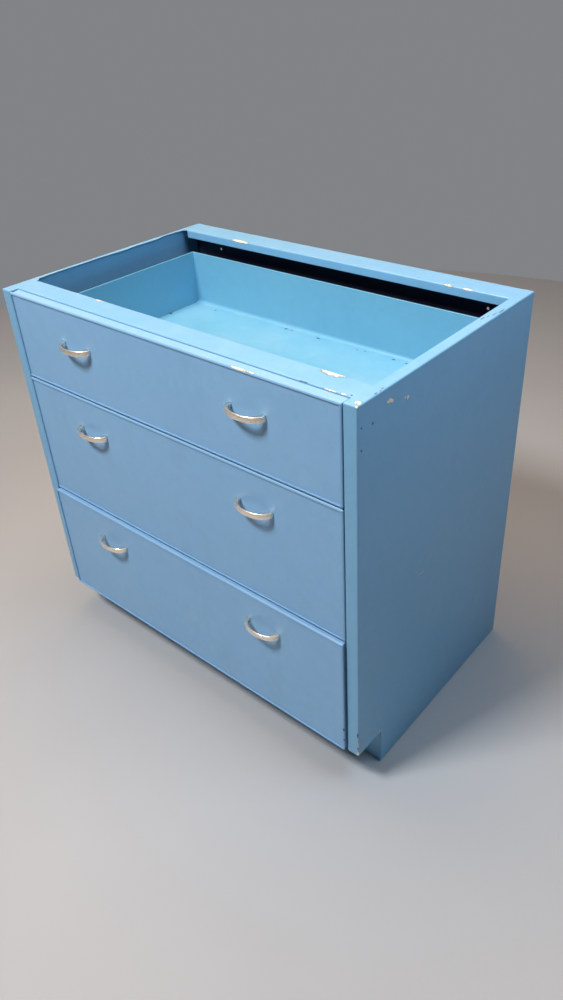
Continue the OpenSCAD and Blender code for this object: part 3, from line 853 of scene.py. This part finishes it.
for level in levels:
    for side in sides:
        piece = level + side.capitalize()
        node = level + "_" + side
        makePiece(piece + "Track", [trackPatch(node + "_track")], zincSheet, "cabinet",
                  [node + "_track"], solid=True)
        for kind in ("track", "runner"):
            name = node + "_" + kind + "_roller"
            makePiece(piece + kind.capitalize() + "Roller", [rollerPatch(name)], rollerNylon,
                      name, [name], solid=True)
    body = level + "_drawer"
    makePiece(level + "Runners", runnerPatches(level + "_runners"), zincSheet, body,
              [level + "_runners"], solid=True)
    runnerWeb = nodeBox(level + "_runners")[0][0] + slide["runnerFlange"] - slide["sheet"]
    makePiece(level + "RunnerAxles",
              axlePatches(runnerWeb, [level + "_" + side + "_runner_roller" for side in sides]),
              zincFastener, body, [level + "_runner_axles"], solid=True)
makePiece("trackAxles",
          axlePatches(left + stileWidth,
                      [level + "_" + side + "_track_roller" for level in levels for side in sides]),
          zincFastener, "cabinet", ["track_axles"], solid=True)
print("slides made")


# Drawers: fronts, trays and pulls

pan = {"sheet": 0.0012, "fold": 0.0022, "corner": 0.0024}      # fronts: fold radius, corner radius
tray = {"sheet": 0.0012, "hemWidth": 0.0026, "hemHeight": 0.009, "hemLip": 0.0004, "corner": 0.0012,
        "cove": 0.008}


def frontSkin(node):
    # A pan: the face, a fold all round it and the four sides that run back
    low, high = nodeBox(node)
    corner, fold = pan["corner"], pan["fold"]
    plan, out = roundedPath([(low[0], low[2], corner), (low[0], high[2], corner),
                             (high[0], high[2], corner), (high[0], low[2], corner)], closed=True)
    angle = np.linspace(0, math.pi / 2, 6)
    depth = np.concatenate([low[1] + fold - fold * np.sin(angle), [high[1]]])[::-1]
    inset = np.concatenate([fold * (1 - np.cos(angle)), [0]])[::-1]
    flat = plan - inset[:, None, None] * out
    points = np.stack([flat[..., 0], depth[:, None] + 0 * flat[..., 0], flat[..., 1]], -1)
    count = len(plan)
    face = (len(depth) - 1) * count + np.arange(count)[None]
    return [(points, [quads(len(depth), count, closed=True, flip=True), face])]


def trayPatches(node):
    # The walls are one hemmed profile carried round the left side, the back and the right side.
    # The floor lies between them and turns up in a small cove along the back.
    low, high = nodeBox(node)
    sheet, hem, drop = tray["sheet"], tray["hemWidth"], high[2] - tray["hemHeight"]
    x0, x1, y1 = low[0] + hem, high[0] - hem, high[1] - hem
    bend = tray["corner"]
    plan, out = roundedPath([(x0, low[1]), (x0, y1, bend), (x1, y1, bend), (x1, low[1])])
    angle = np.linspace(0, math.pi, 9)[:, None]
    crown = np.concatenate([hem / 2 * (1 - np.cos(angle)), high[2] - hem / 2 + hem / 2 * np.sin(angle)], 1)
    lip = [(hem, drop + tray["hemLip"]), (hem - tray["hemLip"], drop), (sheet, drop)]
    profile = np.concatenate([[(0, low[2])], crown, lip, [(sheet, low[2])]])
    flat = plan[:, None] + profile[None, :, :1] * out[:, None]
    walls = np.concatenate([flat, profile[None, :, 1:] + 0 * flat[..., :1]], -1)
    count, rows = len(profile), len(plan)
    ends = [np.arange(count)[None], (rows - 1) * count + np.arange(count)[None]]
    u, v, w = np.meshgrid([x0, x1], [low[1], y1], [low[2], low[2] + sheet], indexing="ij")
    floor = np.stack([u, v, w], -1).reshape(-1, 3)
    boxFaces = np.array([[0, 1, 3, 2], [4, 6, 7, 5], [0, 4, 5, 1], [2, 3, 7, 6], [0, 2, 6, 4], [1, 5, 7, 3]])
    z0, r = low[2] + sheet, tray["cove"]
    bend = np.linspace(0, math.pi / 2, 7)
    arc = np.stack([y1 - r + r * np.sin(bend), z0 + r - r * np.cos(bend)], 1)
    fillet = bar(np.concatenate([arc, [(y1, z0)]]), x0, x1, across)
    return [(walls, [quads(rows, count, closed=True)] + ends), (floor, [boxFaces]), fillet]


pull = {"reach": 0.025, "strap": 0.0034, "foot": 0.0105, "edge": 0.0016, "crown": 0.0005,
        "steps": 56}


def pullPatch(node):
    # A bow of half ellipses, the outer one deeper than the inner one. At each step the section
    # is a rounded rectangle from the inner to the outer curve, with a slightly crowned face.
    low, high = nodeBox(node)
    a, height = (high[0] - low[0]) / 2, high[2] - low[2]
    centre = np.array([(low[0] + high[0]) / 2, high[1], (low[2] + high[2]) / 2])
    turn = np.linspace(0, math.pi, pull["steps"])[:, None]
    outer = np.concatenate([-a * np.cos(turn), -pull["reach"] * np.sin(turn)], 1)
    inner = np.concatenate([-(a - pull["foot"]) * np.cos(turn),
                            -(pull["reach"] - pull["strap"]) * np.sin(turn)], 1)
    span = np.linalg.norm(outer - inner, axis=1)[:, None]
    e, h = pull["edge"], height / 2
    corners = [(0, -h, e), (0, h, e), (1, h, e), (1, -h, e)]
    section, _ = roundedPath([(u * 4 * e, v, r) for u, v, r in corners], closed=True)
    section = np.concatenate([section, [(4 * e, -h / 3), (4 * e, h / 3)]])
    order = np.argsort(np.arctan2(section[:, 1], section[:, 0] - 2 * e))
    section = section[order]
    near = section[:, 0] < 2 * e
    depth = np.where(near, section[:, 0], span + section[:, 0] - 4 * e)
    faceRise = np.where(near, 0, pull["crown"] * (section[:, 1] / h) ** 2)
    unit = (outer - inner) / span
    flat = inner[:, None] + unit[:, None] * (depth - faceRise)[..., None]
    points = np.concatenate([flat, section[None, :, 1:] + 0 * flat[..., :1]], -1)
    points[[0, -1], :, 1] = 0
    count = len(section)
    ends = [np.arange(count)[None], (len(turn) - 1) * count + np.arange(count)[None]]
    return points + centre, [quads(len(turn), count, closed=True)] + ends


# For each front its chips, then its nicks
frontMarks = {
    "top": ([((0.2235, front + 0.0010, 0.8740), (0.0200, 0.0034, 0.0018)),
             ((0.2480, front + 0.0010, 0.8740), (0.0100, 0.0016, 0.0012))], []),
    "middle": ([], []),
    "bottom": ([], [((0.4275, front - 0.0065, 0.1618), (0.0018, 0.0030, 0.0050)),
                    ((0.4275, front - 0.0065, 0.1319), (0.0018, 0.0030, 0.0030))]),
}
# Painted shade: dark spots where the top tray's floor has small holes, standing in for the shade seen
# through them, as (x, y, size)
floorHoleShade = ((-0.3342, 0.2129, 0.8), (-0.1080, 0.2202, 1.1), (-0.0900, 0.2208, 0.6),
             (-0.0101, 0.2192, 1.2), (0.1023, 0.2160, 0.7), (0.1210, 0.2197, 0.6),
             (0.1960, 0.2191, 1.0), (0.2302, 0.2180, 0.9), (-0.4130, 0.1347, 1.2))
for level in levels:
    body = level + "_drawer"
    node = level + "_front"
    low, high = nodeBox(node)
    # Each front takes the enamel that carries the painted reflection of the floor
    makePiece(level + "Front", frontSkin(node),
              enamel(level + "FrontEnamel", frontEnamelPaintedSheen, low, high, *frontMarks[level]),
              body, [node], sheet=pan["sheet"])
    dressNode(level + "_liner", enamel(level + "LinerEnamel", trayEnamel, *nodeBox(level + "_liner")))
    node = level + "_tray"
    low, high = nodeBox(node)
    holeShade = [((x, y, low[2] + tray["sheet"]), (0.0042 * k, 0.0026 * k, 0.0020))
             for x, y, k in floorHoleShade]
    makePiece(level + "Tray", trayPatches(node),
              enamel(level + "TrayEnamel", trayEnamel, low, high, [], holeShade if level == "top" else []),
              body, [node], solid=True)
    for side in sides:
        node = level + "_" + side + "_pull"
        makePiece(level + side.capitalize() + "Pull", [pullPatch(node)], satinNickel, body, [node],
                  solid=True)
    dressNode(level + "_pull_screws", zincFastener, 0.0002)
    dressNode(level + "_bumpers", bumperRubber, 0.0004)
print("drawers made")


# Floor, light and camera

studio = {"floorRadius": 2.8, "floorColour": (0.42, 0.43, 0.44, 1), "world": (0.92, 0.95, 1.0, 1),
          "worldStrength": 0.02,
          "worldSeen": 0.22, "worldGloss": 0.42}     # strength added for the camera and for reflections


def makeFloor():
    # A level disc of pale studio paper
    angle = np.linspace(0, 2 * math.pi, 180, endpoint=False)
    rim = studio["floorRadius"] * np.stack([np.cos(angle), np.sin(angle), 0 * angle], 1)
    mesh = bpy.data.meshes.new("studioFloor")
    mesh.from_pydata(rim.tolist(), [], [list(range(len(angle)))])
    material, tree, shader, where, _ = newMaterial("studioPaper")
    cloud = ramp(tree, noise(tree, where, 1.3, 3.0), 0.3, 0.7, 0.97, 1.02)
    tone = add(tree, "HueSaturation", {"Color": studio["floorColour"], "Value": cloud})
    tree.links.new(tone.outputs[0], shader.inputs["Base Color"])
    shader.inputs["Roughness"].default_value = 0.85
    mesh.materials.append(material)
    sheet = bpy.data.objects.new("studioFloor", mesh)
    scene.collection.objects.link(sheet)


lights = {
    "topLight": {"place": (-0.3, 0.2, 2.9), "target": (0, 0, 0.5), "size": (1.8, 1.4), "watts": 44,
                 "colour": (1.0, 0.66, 0.40)},
    "frontLight": {"place": (-0.5, -2.0, 3.45), "target": (0, 0, 0.5), "size": (0.8, 0.6), "watts": 132,
                   "colour": (0.95, 0.94, 0.94)},
    "ceilingLight": {"place": (0, 0, 6.0), "target": (0, 0, 0), "size": (14.0, 14.0), "watts": 62,
                     "colour": (1.0, 1.0, 1.0)},
    "sideLight": {"place": (1.15, 0.05, 1.95), "target": (0.45, 0, 0.8), "size": (0.7, 0.7), "watts": 13,
                  "colour": (0.62, 0.80, 1.0)},
}


def areaLight(name, place, target, size, watts, colour):
    lamp = bpy.data.lights.new(name, "AREA")
    lamp.shape = "RECTANGLE"
    lamp.size, lamp.size_y = size
    lamp.energy = watts
    lamp.color = colour
    light = bpy.data.objects.new(name, lamp)
    scene.collection.objects.link(light)
    light.location = place
    away = np.array(target, float) - np.array(place, float)
    light.rotation_euler = (math.atan2(math.hypot(away[0], away[1]), -away[2]), 0,
                            math.atan2(-away[0], away[1]))


makeFloor()
for name, lamp in lights.items():
    areaLight(name, **lamp)
world = bpy.data.worlds.new("studio")
scene.world = world
world.use_nodes = True
backdrop = world.node_tree.nodes["Background"]
backdrop.inputs[0].default_value = studio["world"]
path = add(world.node_tree, "LightPath").outputs
strength = maths(world.node_tree, "MULTIPLY_ADD", path["Is Camera Ray"], studio["worldSeen"],
                 studio["worldStrength"])
strength = maths(world.node_tree, "MULTIPLY_ADD", path["Is Glossy Ray"], studio["worldGloss"], strength)
world.node_tree.links.new(strength, backdrop.inputs[1])

view = {"place": (1.04989, -1.08036, 1.41172), "turn": (57.2203, 2.46785, 39.6360),
        "lens": 28.289, "sensor": 36.0, "shift": (-0.01765, -0.02659)}     # millimetres
lensData = bpy.data.cameras.new("viewCamera")
lensData.sensor_width = view["sensor"]
lensData.sensor_fit = "AUTO"
lensData.lens = view["lens"]
lensData.shift_x, lensData.shift_y = view["shift"]
camera = bpy.data.objects.new("viewCamera", lensData)
camera.location = view["place"]
camera.rotation_euler = [math.radians(a) for a in view["turn"]]
scene.collection.objects.link(camera)
scene.camera = camera
scene.view_settings.view_transform = "Standard"
print("light and camera set")
